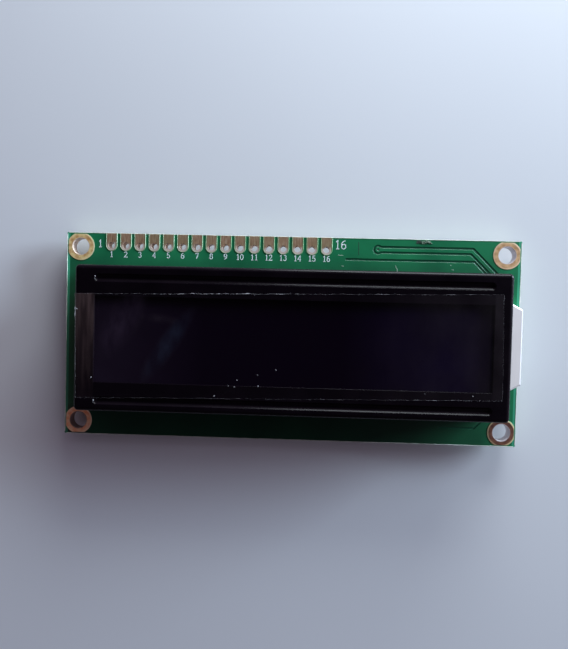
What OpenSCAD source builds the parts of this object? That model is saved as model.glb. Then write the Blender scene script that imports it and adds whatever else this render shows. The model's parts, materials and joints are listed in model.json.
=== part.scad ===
// Character display module, 16 columns by 2 rows: a circuit board that carries a
// glass display cell and its side-lit backlight under a folded sheet-metal bezel.
// The origin is the middle of the four mounting holes, on the board's rear face.
// +X runs along the terminal row, +Y points to the terminal row, +Z out of the display.

/* [Circuit board] */
// Length of the board along X
board_l = 80; // [74:0.5:100]
// Width of the board along Y
board_w = 36; // [36:0.5:44]
// Thickness of the laminate
board_t = 1.6; // [0.8:0.2:2.4]
// Radius of the board's corners
board_corner_r = 0.3; // [0.1:0.1:1]
// Depth of the gaps between the copper areas under the solder mask
trace_t = 0.05; // [0.03:0.01:0.1]
// Width of a supply trace
trace_w = 0.6; // [0.4:0.1:1]
// Width of the gap around a trace
trace_gap = 0.35; // [0.25:0.05:0.5]

/* [Mounting holes] */
// Distance of each mounting hole's middle from the board's edges
hole_inset = 2.5; // [2.3:0.1:3]
// Clear diameter of a mounting hole
hole_d = 3; // [2.5:0.1:3.4]
// Diameter of the plated land around a mounting hole
land_d = 4.9; // [4.5:0.1:5.2]
// Distance that a land keeps from the board's edges
land_edge_gap = 0.3; // [0.1:0.1:0.5]
// Thickness of the plating in a hole and on a land
plating_t = 0.05; // [0.03:0.01:0.08]

/* [Terminal row] */
// Number of terminals
terminal_count = 16; // [14:1:16]
// Distance from one terminal to the next
terminal_pitch = 2.54; // [2.4:0.02:2.54]
// Distance of the first terminal from the board's left edge
terminal_start = 8; // [7.5:0.1:9]
// Distance of the terminal holes from the board's upper edge
terminal_inset = 2.2; // [1.8:0.1:2.4]
// Clear diameter of a terminal hole
terminal_hole_d = 1.1; // [0.8:0.05:1.2]
// Width of a terminal pad
pad_w = 1.9; // [1.6:0.1:2]

/* [Bezel] */
// Length of the bezel along X
bezel_l = 71.5; // [64:0.5:73]
// Width of the bezel along Y
bezel_w = 24.2; // [22:0.1:25]
// Height of the bezel's face over the board
bezel_h = 7; // [6.6:0.1:9]
// Thickness of the bezel's sheet
sheet_t = 0.5; // [0.4:0.05:0.6]
// Outer radius of the bezel's bends and corners
bend_r = 0.7; // [0.55:0.05:0.8]
// Border from the bezel's short edge to the window
window_end_border = 3.2; // [3:0.05:5]
// Border from the bezel's long edge to the window
window_side_border = 5; // [4:0.1:6]
// Gap between the bezel's walls and the board
wall_lift = 0.1; // [0.06:0.02:0.2]
// Width of a pressed stiffening bead
bead_w = 1.3; // [1:0.1:1.5]
// Depth of a pressed stiffening bead
bead_depth = 0.35; // [0.25:0.05:0.4]
// Distance from the bezel's short edge to the end of a bead
bead_end_gap = 3.15; // [3:0.05:6]
// Distance of a bead's middle from the bezel's long edge
bead_inset = 2; // [1.8:0.1:2.2]
// Offset of the window and the beads from the bezel's middle, along X
punch_x = 0.15; // [-0.3:0.05:0.3]
// Offset of the window and the beads from the bezel's middle, along Y
punch_y = -0.15; // [-0.3:0.05:0.3]
// Width of the open seam at a folded corner
seam_w = 0.15; // [0.1:0.05:0.3]
// Offset of the bezel and the display from the board's middle, along X
stack_x = 0.3; // [-0.4:0.05:0.4]
// Offset of the bezel and the display from the board's middle, along Y
stack_y = -0.35; // [-0.5:0.05:0.3]

/* [Bezel tabs] */
// Number of twisted tabs on each long side
tab_count = 4; // [2:1:4]
// Width of a tab
tab_w = 2; // [1.6:0.1:2.4]
// Distance from the bezel's short edge to the middle of the nearest tab
tab_end_gap = 7.1; // [4:0.1:12]
// Length of a tab below the board
tab_reach = 1.5; // [1.3:0.1:2]
// Twist of a tab below the board, in degrees
tab_twist = 35; // [20:5:60]
// Gap around a tab in its slot
tab_slot_gap = 0.2; // [0.1:0.05:0.3]

/* [Display cell] */
// Thickness of each glass plate
glass_t = 1.1; // [0.7:0.1:1.1]
// Gap between the glass and the bezel's walls
glass_gap = 0.2; // [0.15:0.05:0.3]
// Width of the upper glass's contact ledge on each long side
ledge_w = 2.2; // [2:0.1:2.4]
// Thickness of the seal between the plates
seal_t = 0.1; // [0.05:0.05:0.2]
// Width of the seal between the plates
seal_w = 1; // [0.6:0.1:1.4]
// Width of the seal's filling port
seal_port_w = 3; // [2:0.5:5]
// Thickness of a polariser film
polariser_t = 0.2; // [0.15:0.05:0.25]
// Overlap of the front polariser past the window, on each side
polariser_lap = 1; // [0.5:0.1:1.2]

/* [Protective film] */
// Lap of the peel-off film past each end of the window
film_end_lap = 2.25; // [1.8:0.05:2.6]
// Lap of the peel-off film past each side of the window
film_side_lap = 1.45; // [1:0.05:2]
// Thickness of the peel-off film
film_t = 0.08; // [0.05:0.01:0.15]
// Turn of the film on the bezel, in degrees
film_turn = 1.2; // [0:0.1:1.6]
// Offset of the film's middle from the bezel's middle, along X
film_x = -0.6; // [-0.7:0.05:0.7]
// Offset of the film's middle from the bezel's middle, along Y
film_y = -0.6; // [-1:0.05:1]

/* [Contact strips] */
// Distance from the glass's end to the end of a rubber contact strip
strip_end_gap = 4.8; // [3:0.1:8]
// Width of a rubber contact strip
strip_w = 1.4; // [1.2:0.1:1.5]
// Gap around a contact strip in the frame
strip_gap = 0.1; // [0.05:0.05:0.15]
// Number of contacts under each strip
contact_count = 48; // [40:1:48]
// Thickness of a contact
contact_t = 0.04; // [0.03:0.01:0.05]

/* [Backlight] */
// Gap between the backlight frame and the bezel's walls
frame_gap = 0.1; // [0.05:0.05:0.15]
// Thickness of the frame's floor
frame_floor_t = 0.65; // [0.5:0.05:0.8]
// Width of the frame's end walls
frame_end_w = 1.9; // [1.5:0.1:2.4]
// Width of the rail between the light guide and a contact strip
frame_rail_w = 0.8; // [0.7:0.05:0.9]
// Thickness of the diffuser and of the reflector
foil_t = 0.2; // [0.1:0.05:0.25]
// Gap around the light guide and the foils in the frame
guide_gap = 0.1; // [0.05:0.05:0.2]
// Reach of the lamp housing past the bezel's wall
housing_reach = 3.3; // [3.1:0.05:3.6]
// Width of the lamp housing where it leaves the bezel
housing_root_w = 16.4; // [15:0.1:17]
// Width of the lamp housing at its tip
housing_tip_w = 12.8; // [12.4:0.1:14]
// Height of the lamp housing over the board
housing_h = 3; // [2.8:0.1:3.4]
// Chamfer along the upper edges of the lamp housing
housing_chamfer = 0.3; // [0.1:0.05:0.4]
// Wall of the lamp housing
housing_wall = 0.5; // [0.4:0.05:0.6]
// Gap between the lamp housing and its cut-out in the bezel
housing_gap = 0.15; // [0.1:0.05:0.3]
// Number of lamps
lamp_count = 3; // [2:1:3]
// Distance from one lamp to the next
lamp_pitch = 3.6; // [3:0.1:3.8]

/* [Rear components] */
// Diameter of the epoxy dome over the controller
controller_d = 14; // [12:0.5:16]
// Diameter of the epoxy dome over the segment driver
driver_d = 12; // [10:0.5:14]
// Height of both epoxy domes
dome_h = 1.5; // [1.3:0.1:2]
// Length of a chip component
chip_l = 2; // [1.8:0.1:2.2]
// Width of a chip component
chip_w = 1.25; // [1:0.05:1.4]
// Thickness of a chip component
chip_t = 0.55; // [0.4:0.05:0.8]
// Thickness of the supply capacitor
capacitor_t = 0.85; // [0.6:0.05:1.1]
// Number of bias resistors
bias_count = 5; // [3:1:5]
// Distance from one bias resistor to the next
bias_pitch = 2.2; // [2:0.1:2.6]

/* [Hidden] */
$fn = 32;
terminal_fn = 24;
eps = 0.01;
hole_x = board_l / 2 - hole_inset;
hole_y = board_w / 2 - hole_inset;
hole_points = [for (sx = [-1, 1], sy = [-1, 1]) [sx * hole_x, sy * hole_y]];
terminal_y = board_w / 2 - terminal_inset;
terminal_x0 = terminal_start - board_l / 2;
pad_edge_gap = 0.1;

// Levels of the display stack, from the bezel's face down to the board
bezel_top = board_t + bezel_h;
bezel_under = bezel_top - sheet_t;
glass_top = bezel_under - bead_depth;
upper_glass_z = glass_top - glass_t;
seal_z = upper_glass_z - seal_t;
lower_glass_z = seal_z - glass_t;
rear_polariser_z = lower_glass_z - polariser_t;
diffuser_z = rear_polariser_z - foil_t;
frame_floor_z = board_t + frame_floor_t;
guide_z = frame_floor_z + foil_t;

// Plan sizes of the bezel's features
window_l = bezel_l - 2 * window_end_border;
window_w = bezel_w - 2 * window_side_border;
bead_l = bezel_l - 2 * bead_end_gap;
tab_span = bezel_l - 2 * tab_end_gap;
film_l = window_l + 2 * film_end_lap;
film_w = window_w + 2 * film_side_lap;

// Plan sizes of the display stack
inside_l = bezel_l - 2 * sheet_t;
inside_w = bezel_w - 2 * sheet_t;
frame_l = inside_l - 2 * frame_gap;
frame_w = inside_w - 2 * frame_gap;
glass_l = frame_l - 2 * glass_gap;
upper_glass_w = inside_w - 2 * glass_gap;
lower_glass_w = upper_glass_w - 2 * ledge_w;
strip_y = upper_glass_w / 2 - ledge_w / 2;
strip_l = glass_l - 2 * strip_end_gap;
slot_w = strip_w + 2 * strip_gap;
slot_l = strip_l + 2 * strip_gap;
pocket_w = 2 * (strip_y - slot_w / 2 - frame_rail_w);
pocket_l = frame_l - 2 * frame_end_w;
guide_w = pocket_w - 2 * guide_gap;
guide_l = pocket_l - 2 * guide_gap;

// Lamp housing at the right end of the backlight frame
housing_tip_x = bezel_l / 2 + housing_reach;
housing_top = board_t + housing_h;
housing_round = 0.4;
cavity_w = housing_tip_w - 2 * housing_wall;
cavity_top = housing_top - housing_wall;
lamp_board_t = 0.6;
lamp_board_h = cavity_top - frame_floor_z - 0.1;
lamp_board_w = cavity_w - 0.6;
lamp_board_x = housing_tip_x - housing_wall - lamp_board_t;
lamp_depth = 0.8;
lamp_w = 2.4;
lamp_h = 1.3;
tongue_end_x = lamp_board_x - lamp_depth - guide_gap;
lead_d = 0.5;
lead_y = lamp_board_w / 2 - 1;
lead_x = lamp_board_x + lamp_board_t / 2;
lead_hole_d = 0.8;
lead_reach = 1;

// Slots for the bezel's tabs
tab_pitch = tab_span / (tab_count - 1);
tab_y = bezel_w / 2 - sheet_t / 2;
tab_slot_l = tab_w + 2 * tab_slot_gap;
tab_slot_w = sheet_t + 2 * tab_slot_gap;

// Gaps in the copper of the board's front face: round the supply trace, which runs from
// its via to the right-hand land, and along the two areas that pass under the bezel
last_terminal_x = terminal_x0 + (terminal_count - 1) * terminal_pitch;
via_run = 9;
split_run = 3.5;
via_x = last_terminal_x + via_run;
split_x = last_terminal_x + split_run;
via_r = 0.5;
via_hole_d = 0.3;
split_drop = 1.8;
supply_inset = 2;
supply_y = board_w / 2 - supply_inset;
split_y = supply_y - split_drop;
knee_to_hole = 6.05;
split_knee_to_hole = 5.6;
knee_x = hole_x - knee_to_hole;
split_knee_x = hole_x - split_knee_to_hole;
trace_end_y = stack_y + bezel_w / 2 - 1;
lower_knee_to_hole = 4.85;
lower_run = 6;
lower_y_to_hole = 0.6;
lower_knee_x = hole_x - lower_knee_to_hole;
lower_y = lower_y_to_hole - hole_y;
lower_end_y = stack_y - bezel_w / 2 + 1;

// Places of the rear components, from the board's middle
controller_x = -16;
driver_x = 13;
dome_y = -1;
bias_x = 24;
oscillator_x = 20;
backlight_x = 32;
chip_row_y = 6.5;
capacitor_y = 2.1;
chip_cap = 0.35;
pad_margin = 0.25;
solder_t = 0.04;

function two_digits(n) = str(n < 10 ? "0" : "", n);
function terminal_x(i) = terminal_x0 + (i - 1) * terminal_pitch;
function tab_x(i) = stack_x + (i - 1) * tab_pitch - tab_span / 2;
function lamp_y(i) = (i - (lamp_count + 1) / 2) * lamp_pitch;
function bias_y(i) = chip_row_y - (i - 1) * bias_pitch;

single_nodes = [
    "circuit_board", "bezel", "protective_film", "front_polariser", "upper_glass",
    "cell_seal", "lower_glass", "rear_polariser", "diffuser_sheet", "light_guide",
    "reflector_sheet", "backlight_frame", "lamp_board", "contact_strip_upper",
    "contact_strip_lower", "contact_row_upper", "contact_row_lower", "controller_dome",
    "driver_dome", "oscillator_resistor", "backlight_resistor", "supply_capacitor",
    "component_pads"
];

// ---------- shared shapes ----------

module at_stack() {
    translate([stack_x, stack_y, 0]) children();
}

module rounded_rect(l, w, r) {
    square([l - 2 * r, w], center = true);
    square([l, w - 2 * r], center = true);
    for (sx = [-1, 1], sy = [-1, 1])
        translate([sx * (l / 2 - r), sy * (w / 2 - r)]) circle(r);
}

module slab(l, w, z, t) {
    translate([-l / 2, -w / 2, z]) cube([l, w, t]);
}

// A straight trace with round ends, from p to q
module trace(p, q, w) {
    run = q - p;
    translate(p) circle(d = w);
    translate(q) circle(d = w);
    translate(p)
        rotate(atan2(run.y, run.x))
            translate([0, -w / 2]) square([norm(run), w]);
}

// A horizontal bar with ball ends along X
module ball_bar(l, r) {
    for (s = [-1, 1])
        translate([s * l / 2, 0, 0]) sphere(r);
    translate([-l / 2, 0, 0]) rotate([0, 90, 0]) cylinder(h = l, r = r);
}

// ---------- circuit board ----------

// The supply trace with its via's land, widened by grow on each side
module supply_trace(grow) {
    translate([via_x, supply_y]) circle(via_r + grow);
    trace([via_x, supply_y], [knee_x, supply_y], trace_w + 2 * grow);
    trace([knee_x, supply_y], [knee_x + supply_y - trace_end_y, trace_end_y], trace_w + 2 * grow);
}

module copper_gaps() {
    difference() {
        supply_trace(trace_gap);
        supply_trace(0);
    }
    trace([split_x, split_y], [split_knee_x, split_y], trace_gap);
    trace([split_knee_x, split_y], [split_knee_x + split_y - trace_end_y, trace_end_y], trace_gap);
    trace([lower_knee_x - lower_run, lower_y], [lower_knee_x, lower_y], trace_gap);
    trace([lower_knee_x, lower_y], [lower_knee_x + lower_end_y - lower_y, lower_end_y], trace_gap);
}

module tab_slots() {
    for (i = [1 : tab_count], side = [-1, 1])
        translate([tab_x(i), stack_y + side * tab_y, -eps])
            linear_extrude(board_t + 2 * eps)
                square([tab_slot_l, tab_slot_w], center = true);
}

module circuit_board() {
    color([0.03, 0.29, 0.18])
    difference() {
        linear_extrude(board_t) rounded_rect(board_l, board_w, board_corner_r);
        translate([0, 0, board_t - trace_t]) linear_extrude(2 * trace_t) copper_gaps();
        for (p = hole_points)
            translate([p.x, p.y, -eps])
                cylinder(h = board_t + 2 * eps, d = hole_d + 2 * plating_t);
        for (i = [1 : terminal_count])
            translate([terminal_x(i), terminal_y, -eps])
                cylinder(h = board_t + 2 * eps, d = terminal_hole_d + 2 * plating_t, $fn = terminal_fn);
        for (side = [-1, 1])
            translate([stack_x + lead_x, stack_y + side * lead_y, -eps])
                cylinder(h = board_t + 2 * eps, d = lead_hole_d);
        translate([via_x, supply_y, -eps]) cylinder(h = board_t + 1, d = via_hole_d);
        tab_slots();
    }
}

// A plated land on both faces, joined by the plated wall of its hole
module mounting_land(i) {
    p = hole_points[i - 1];
    color([0.80, 0.66, 0.38])
    difference() {
        union() {
            for (z = [-plating_t, board_t])
                intersection() {
                    translate([p.x, p.y, z]) cylinder(h = plating_t, d = land_d);
                    slab(board_l - 2 * land_edge_gap, board_w - 2 * land_edge_gap, z, plating_t);
                }
            translate([p.x, p.y, 0]) cylinder(h = board_t, d = hole_d + 2 * plating_t);
        }
        translate([p.x, p.y, -1]) cylinder(h = board_t + 2, d = hole_d);
    }
}

module pad_outline() {
    circle(d = pad_w, $fn = terminal_fn);
    translate([-pad_w / 2, 0]) square([pad_w, terminal_inset - pad_edge_gap]);
}

// A terminal pad on both faces, joined by the plated wall of its hole
module terminal_pad(i) {
    color([0.72, 0.52, 0.36])
    translate([terminal_x(i), terminal_y, 0])
    difference() {
        union() {
            for (z = [-plating_t, board_t])
                translate([0, 0, z]) linear_extrude(plating_t) pad_outline();
            cylinder(h = board_t, d = terminal_hole_d + 2 * plating_t, $fn = terminal_fn);
        }
        translate([0, 0, -1]) cylinder(h = board_t + 2, d = terminal_hole_d, $fn = terminal_fn);
    }
}

// ---------- bezel ----------

// A block with rounded upper edges and rounded upright corners
module rounded_block(l, w, z0, z1, r) {
    translate([0, 0, z0]) linear_extrude(z1 - z0 - r) rounded_rect(l, w, r);
    slab(l - 2 * r, w - 2 * r, z0, z1 - z0);
    for (side = [-1, 1]) {
        translate([0, side * (w / 2 - r), z1 - r]) ball_bar(l - 2 * r, r);
        translate([side * (l / 2 - r), 0, z1 - r]) rotate(90) ball_bar(w - 2 * r, r);
    }
}

// Radius of a bead's hollow, from its width and depth
function bead_radius() = (pow(bead_w / 2, 2) + pow(bead_depth, 2)) / (2 * bead_depth);

module bead_bar(r) {
    axis_z = bezel_top - bead_depth + bead_radius();
    for (side = [-1, 1])
        translate([punch_x, punch_y + side * (bezel_w / 2 - bead_inset), axis_z])
            ball_bar(bead_l - bead_w, r);
}

module bezel_tab() {
    overlap = 0.3;
    translate([-tab_w / 2, -sheet_t / 2, -overlap])
        cube([tab_w, sheet_t, board_t + wall_lift + 2 * overlap]);
    translate([0, 0, -tab_reach])
        rotate(tab_twist)
            translate([-tab_w / 2, -sheet_t / 2, 0]) cube([tab_w, sheet_t, tab_reach]);
}

module housing_cutout() {
    cut_w = housing_root_w + 2 * housing_gap;
    translate([inside_l / 2 - 1, -cut_w / 2, 0])
        cube([sheet_t + 2, cut_w, housing_top + housing_gap]);
}

// The open seam beside each folded corner, in the short walls
module corner_seams() {
    seam_y = inside_w / 2 - seam_w;
    for (sx = [-1, 1], sy = [-1, 1])
        translate([sx * bezel_l / 2 - 1, sy * (seam_y + seam_w / 2) - seam_w / 2, 0])
            cube([2, seam_w, bezel_top - 2 * bend_r]);
}

module bezel_shell() {
    difference() {
        rounded_block(bezel_l, bezel_w, board_t + wall_lift, bezel_top, bend_r);
        slab(inside_l, inside_w, 0, bezel_under);
    }
    intersection() {
        bead_bar(bead_radius() + sheet_t);
        slab(inside_l, inside_w, glass_top - eps, bezel_under - glass_top + sheet_t / 2);
    }
}

module bezel() {
    color([0.07, 0.06, 0.08])
    at_stack() {
        difference() {
            bezel_shell();
            translate([punch_x, punch_y, 0]) slab(window_l, window_w, 0, bezel_top + 1);
            bead_bar(bead_radius());
            housing_cutout();
            corner_seams();
        }
        for (i = [1 : tab_count], side = [-1, 1])
            translate([tab_x(i) - stack_x, side * tab_y, 0]) bezel_tab();
    }
}

// ---------- display cell ----------

module protective_film() {
    color([0.55, 0.58, 0.60])
    at_stack()
        translate([film_x, film_y, 0])
            rotate(film_turn) slab(film_l, film_w, bezel_top, film_t);
}

module front_polariser() {
    color([0.10, 0.09, 0.13])
    at_stack()
        slab(window_l + 2 * polariser_lap, window_w + 2 * polariser_lap, glass_top, polariser_t);
}

module upper_glass() {
    color([0.16, 0.18, 0.22])
    at_stack() slab(glass_l, upper_glass_w, upper_glass_z, glass_t);
}

// The seal frame, open at the port where the cell was filled
module cell_seal() {
    color([0.60, 0.60, 0.50])
    at_stack()
    difference() {
        slab(glass_l - seal_w, lower_glass_w - seal_w, seal_z, seal_t);
        slab(glass_l - 3 * seal_w, lower_glass_w - 3 * seal_w, seal_z - 1, seal_t + 2);
        translate([-glass_l / 2 - 1, -seal_port_w / 2, seal_z - 1])
            cube([2 * seal_w + 1, seal_port_w, seal_t + 2]);
    }
}

module lower_glass() {
    color([0.16, 0.18, 0.22])
    at_stack() slab(glass_l, lower_glass_w, lower_glass_z, glass_t);
}

module rear_polariser() {
    color([0.25, 0.25, 0.30])
    at_stack() slab(guide_l, guide_w, rear_polariser_z, polariser_t);
}

// ---------- backlight ----------

module diffuser_sheet() {
    color([0.95, 0.95, 0.95])
    at_stack() slab(guide_l, guide_w, diffuser_z, foil_t);
}

// The clear plate, with a thinner tongue that reaches to the lamps
module light_guide() {
    tongue_w = cavity_w - 2 * guide_gap;
    tongue_t = cavity_top - guide_z - guide_gap;
    color([0.75, 0.85, 0.90])
    at_stack() {
        slab(guide_l, guide_w, guide_z, diffuser_z - guide_z);
        translate([0, -tongue_w / 2, guide_z]) cube([tongue_end_x, tongue_w, tongue_t]);
    }
}

module reflector_sheet() {
    color([0.90, 0.90, 0.92])
    at_stack() slab(guide_l, guide_w, frame_floor_z, foil_t);
}

module housing_outline() {
    root = housing_root_w / 2;
    tip = housing_tip_w / 2;
    offset(r = housing_round)
        offset(delta = -housing_round)
            polygon([[0, -root], [bezel_l / 2, -root], [housing_tip_x, -tip],
                     [housing_tip_x, tip], [bezel_l / 2, root], [0, root]]);
}

// Wedges that chamfer the lamp housing's upper edges
module housing_bevels() {
    cut = housing_chamfer * sqrt(2);
    slant_x = housing_reach;
    slant_y = (housing_root_w - housing_tip_w) / 2;
    slant = atan2(slant_y, slant_x);
    translate([housing_tip_x, 0, housing_top])
        rotate([0, 45, 0]) cube([cut, housing_root_w, cut], center = true);
    for (side = [-1, 1])
        translate([bezel_l / 2, side * housing_root_w / 2, housing_top])
            rotate(-side * slant)
                rotate([45, 0, 0]) cube([2 * (slant_x + 1), cut, cut], center = true);
}

// The white tray: pocket for the light guide, slots for the contact strips,
// ledges for both glass plates and the lamp housing at its right end
module backlight_frame() {
    color([0.88, 0.88, 0.84])
    at_stack()
    difference() {
        union() {
            slab(frame_l, frame_w, board_t, upper_glass_z - board_t);
            translate([0, 0, board_t])
                linear_extrude(housing_h)
                    intersection() {
                        housing_outline();
                        translate([frame_l / 2 - 1, -frame_w]) square([10, 2 * frame_w]);
                    }
        }
        housing_bevels();
        slab(pocket_l, pocket_w, frame_floor_z, bezel_h);
        slab(frame_l + 1, lower_glass_w + 2 * glass_gap, lower_glass_z, bezel_h);
        for (side = [-1, 1])
            translate([0, side * strip_y, 0]) slab(slot_l, slot_w, 0, 2 * bezel_h);
        translate([0, -cavity_w / 2, frame_floor_z])
            cube([housing_tip_x - housing_wall, cavity_w, cavity_top - frame_floor_z]);
        for (side = [-1, 1])
            translate([lead_x, side * lead_y, 0]) cylinder(h = frame_floor_z + eps, d = lead_d + 0.1);
    }
}

module lamp_board() {
    color([0.20, 0.45, 0.30])
    at_stack()
        translate([lamp_board_x, -lamp_board_w / 2, frame_floor_z])
            cube([lamp_board_t, lamp_board_w, lamp_board_h]);
}

module lamp(i) {
    color([0.95, 0.90, 0.60])
    at_stack()
        translate([lamp_board_x - lamp_depth, lamp_y(i) - lamp_w / 2, guide_z])
            cube([lamp_depth, lamp_w, lamp_h]);
}

// A straight pin from the lamp board down through the frame and the board
module backlight_lead(i) {
    side = 2 * i - 3;
    color([0.75, 0.75, 0.76])
    at_stack()
        translate([lead_x, side * lead_y, -lead_reach])
            cylinder(h = frame_floor_z + lead_reach, d = lead_d);
}

// Solder that fills the lead's hole and stands as a cone behind the board
module lead_joint(i) {
    side = 2 * i - 3;
    cone_h = 0.7;
    foot_r = 0.9;
    color([0.70, 0.70, 0.70])
    at_stack()
        translate([lead_x, side * lead_y, 0])
        difference() {
            union() {
                cylinder(h = board_t, d = lead_hole_d);
                translate([0, 0, -cone_h]) cylinder(h = cone_h, r1 = lead_d / 2 + 0.1, r2 = foot_r);
            }
            translate([0, 0, -lead_reach - 1]) cylinder(h = board_t + lead_reach + 2, d = lead_d);
        }
}

// ---------- contacts between the glass and the board ----------

module contact_strip(side) {
    color([0.30, 0.30, 0.32])
    at_stack()
        translate([0, side * strip_y, 0])
            slab(strip_l, strip_w, board_t + contact_t, upper_glass_z - board_t - contact_t);
}

module contact_row(side) {
    pitch = strip_l / contact_count;
    color([0.85, 0.70, 0.35])
    at_stack()
    for (i = [1 : contact_count])
        translate([(i - (contact_count + 1) / 2) * pitch, side * strip_y, 0])
            slab(0.56 * pitch, strip_w, board_t, contact_t);
}

// ---------- rear components ----------

// A poured epoxy dome with a flat crown, hanging from the rear face
module epoxy_dome(x, d) {
    cap_h = 1.25 * dome_h;
    ball_r = (pow(d / 2, 2) + pow(cap_h, 2)) / (2 * cap_h);
    color([0.06, 0.06, 0.06])
    translate([x, dome_y, 0])
    intersection() {
        translate([0, 0, ball_r - cap_h]) sphere(ball_r, $fn = 64);
        slab(d + 1, d + 1, -dome_h, dome_h);
    }
}

module controller_dome() {
    epoxy_dome(controller_x, controller_d);
}

module driver_dome() {
    epoxy_dome(driver_x, driver_d);
}

// A chip component under the board: ceramic body and two metal end caps
module chip(x, y, thickness, body_color) {
    cap_lip = 0.02;
    top_z = -solder_t;
    color(body_color)
    translate([x, y, 0]) {
        slab(chip_l - 0.1, chip_w - 2 * cap_lip, top_z - thickness, thickness);
        for (side = [-1, 1])
            translate([side * (chip_l - chip_cap) / 2, 0, 0])
                slab(chip_cap, chip_w, top_z - thickness - cap_lip, thickness + cap_lip);
    }
}

module chip_pads(x, y) {
    pad_l = chip_cap + 2 * pad_margin;
    for (side = [-1, 1])
        translate([x + side * (chip_l / 2 + pad_margin / 2), y, 0])
            slab(pad_l, chip_w + pad_margin, -solder_t, solder_t);
}

module bias_resistor(i) {
    chip(bias_x, bias_y(i), chip_t, [0.10, 0.10, 0.11]);
}

module oscillator_resistor() {
    chip(oscillator_x, chip_row_y, chip_t, [0.10, 0.10, 0.11]);
}

module backlight_resistor() {
    chip(backlight_x, chip_row_y, chip_t, [0.10, 0.10, 0.11]);
}

module supply_capacitor() {
    chip(backlight_x, capacitor_y, capacitor_t, [0.60, 0.48, 0.34]);
}

module component_pads() {
    color([0.75, 0.75, 0.74]) {
        for (i = [1 : bias_count]) chip_pads(bias_x, bias_y(i));
        chip_pads(oscillator_x, chip_row_y);
        chip_pads(backlight_x, chip_row_y);
        chip_pads(backlight_x, capacitor_y);
    }
}

// ---------- nodes ----------

circuit_board();
bezel();
protective_film();
front_polariser();
upper_glass();
cell_seal();
lower_glass();
rear_polariser();
diffuser_sheet();
light_guide();
reflector_sheet();
backlight_frame();
lamp_board();
contact_strip(1);  // contact_strip_upper
contact_strip(-1);  // contact_strip_lower
contact_row(1);  // contact_row_upper
contact_row(-1);  // contact_row_lower
controller_dome();
driver_dome();
oscillator_resistor();
backlight_resistor();
supply_capacitor();
component_pads();
for (i = [1 : 4])
    mounting_land(i);
for (i = [1 : terminal_count])
    terminal_pad(i);
for (i = [1 : lamp_count])
    lamp(i);
for (i = [1 : bias_count])
    bias_resistor(i);
for (i = [1 : 2])
    backlight_lead(i);
for (i = [1 : 2])
    lead_joint(i);
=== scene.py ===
# Looks for the character display module: materials, printed numbers, the peel-off film,
# fine edges, rear copper, light and camera. Lengths are in metres, and MM is a millimetre.
import json
import math

import bmesh
import bpy
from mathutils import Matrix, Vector, noise


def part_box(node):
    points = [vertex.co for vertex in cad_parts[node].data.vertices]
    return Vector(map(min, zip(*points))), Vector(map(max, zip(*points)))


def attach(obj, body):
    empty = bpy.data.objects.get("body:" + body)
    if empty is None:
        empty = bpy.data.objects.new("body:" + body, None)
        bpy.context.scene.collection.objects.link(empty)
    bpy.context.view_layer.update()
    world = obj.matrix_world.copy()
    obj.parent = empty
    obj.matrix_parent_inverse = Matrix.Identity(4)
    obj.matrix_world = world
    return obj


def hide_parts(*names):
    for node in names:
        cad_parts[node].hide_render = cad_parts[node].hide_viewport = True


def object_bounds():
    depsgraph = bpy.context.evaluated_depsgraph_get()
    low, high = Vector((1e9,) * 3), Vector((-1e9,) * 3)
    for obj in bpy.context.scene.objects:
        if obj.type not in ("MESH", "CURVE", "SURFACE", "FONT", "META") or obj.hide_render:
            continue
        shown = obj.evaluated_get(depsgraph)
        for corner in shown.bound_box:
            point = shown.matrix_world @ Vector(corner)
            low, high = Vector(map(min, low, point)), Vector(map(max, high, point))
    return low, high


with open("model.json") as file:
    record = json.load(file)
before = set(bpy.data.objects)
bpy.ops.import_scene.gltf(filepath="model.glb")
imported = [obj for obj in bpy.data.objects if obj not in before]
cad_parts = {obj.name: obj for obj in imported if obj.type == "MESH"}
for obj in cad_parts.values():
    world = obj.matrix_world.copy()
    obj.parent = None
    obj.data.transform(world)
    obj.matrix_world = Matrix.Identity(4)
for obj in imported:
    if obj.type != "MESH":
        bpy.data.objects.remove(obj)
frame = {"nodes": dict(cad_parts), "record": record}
CAD_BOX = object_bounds()

MM = 0.001
NODES = frame["nodes"]
RECORD = frame["record"]


# ---------- places taken from the frame ----------

def box_of(node):
    low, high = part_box(node)
    return Vector(low), Vector(high)


def mount_dims(name):
    return next(m["dims"] for m in RECORD["mounts"] if m["name"] == name)


BOARD_LOW, BOARD_HIGH = box_of("circuit_board")
BEZEL_LOW, BEZEL_HIGH = box_of("bezel")
FRONT_Z = BOARD_HIGH.z
REAR_Z = BOARD_LOW.z
FLOOR_Z = Vector(CAD_BOX[0]).z
HOLES = mount_dims("mounting_holes")
HOLE_X = HOLES["spacing_x_mm"] / 2 * MM
HOLE_Y = HOLES["spacing_y_mm"] / 2 * MM
HOLE_R = HOLES["hole_r_mm"] * MM
FILM_Z = BEZEL_HIGH.z + 0.06 * MM
INK_HEIGHT = 0.015 * MM
PADS = sorted(name for name in NODES if name.startswith("terminal_pad"))


def points_mm(*pairs):
    """Flat points given in millimetres, as metres."""
    return [(x * MM, y * MM) for x, y in pairs]


def middle_x(low, high):
    return (low.x + high.x) / 2


def middle_y(low, high):
    return (low.y + high.y) / 2


# ---------- shader helper ----------

# The colour sockets of a Mix node, which share their names with its other sockets
MIX_A = 6
MIX_B = 7
MIX_RESULT = 2


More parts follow.
